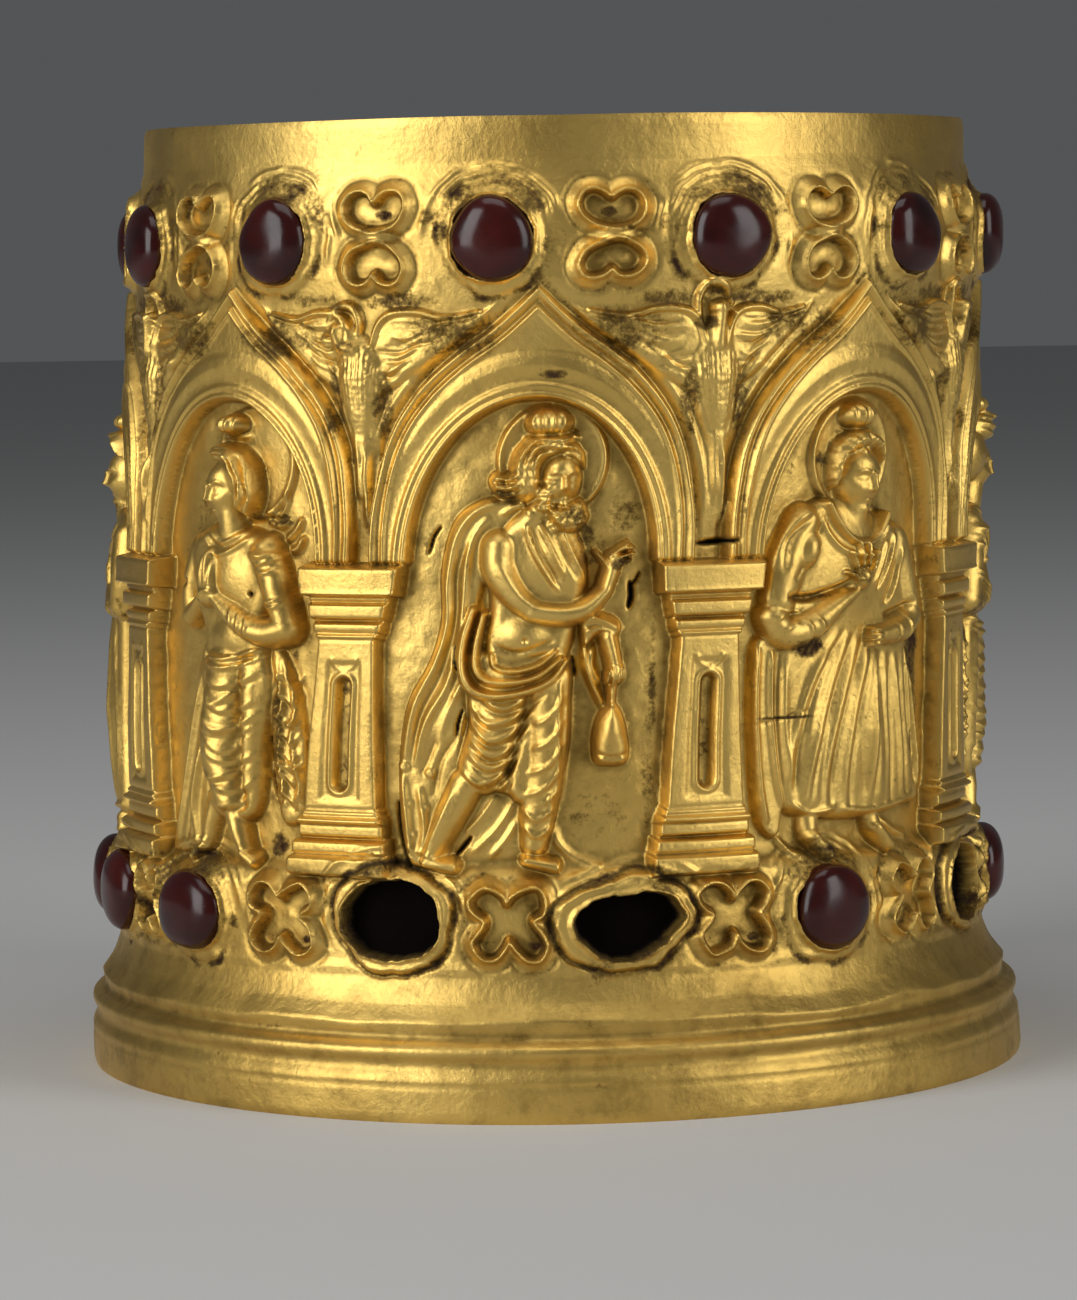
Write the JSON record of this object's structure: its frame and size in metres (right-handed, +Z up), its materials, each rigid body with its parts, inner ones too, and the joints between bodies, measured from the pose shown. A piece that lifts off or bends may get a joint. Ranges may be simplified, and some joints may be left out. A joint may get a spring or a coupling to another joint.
{
  "type": "reliquary casket",
  "caption": "Round gold reliquary casket, open at the top, with standing figures in relief under ogee arches between garnet-set bands.",
  "frame": {"origin": "centre of the underside, where the casket stands", "axes": "+Z up along the axis of the drum, -Y towards the front seen in the picture, +X to the viewer's right"},
  "size_m": [0.0662, 0.0662, 0.0654],
  "materials": {
    "gold": "high-carat sheet gold, burnished on the highlights, with dark dirt in the relief",
    "garnet": "polished almandine cabochon, nearly opaque deep red"
  },
  "bodies": {
    "root": {"gold_body": "gold", "lower_garnet_1": "garnet", "lower_garnet_10": "garnet", "lower_garnet_11": "garnet", "lower_garnet_12": "garnet", "lower_garnet_13": "garnet", "lower_garnet_14": "garnet", "lower_garnet_15": "garnet", "lower_garnet_2": "garnet", "lower_garnet_3": "garnet", "lower_garnet_6": "garnet", "lower_garnet_8": "garnet", "lower_garnet_9": "garnet", "upper_garnet_1": "garnet", "upper_garnet_10": "garnet", "upper_garnet_11": "garnet", "upper_garnet_12": "garnet", "upper_garnet_2": "garnet", "upper_garnet_3": "garnet", "upper_garnet_4": "garnet", "upper_garnet_5": "garnet", "upper_garnet_6": "garnet", "upper_garnet_7": "garnet", "upper_garnet_8": "garnet", "upper_garnet_9": "garnet"}
  },
  "joints": []
}
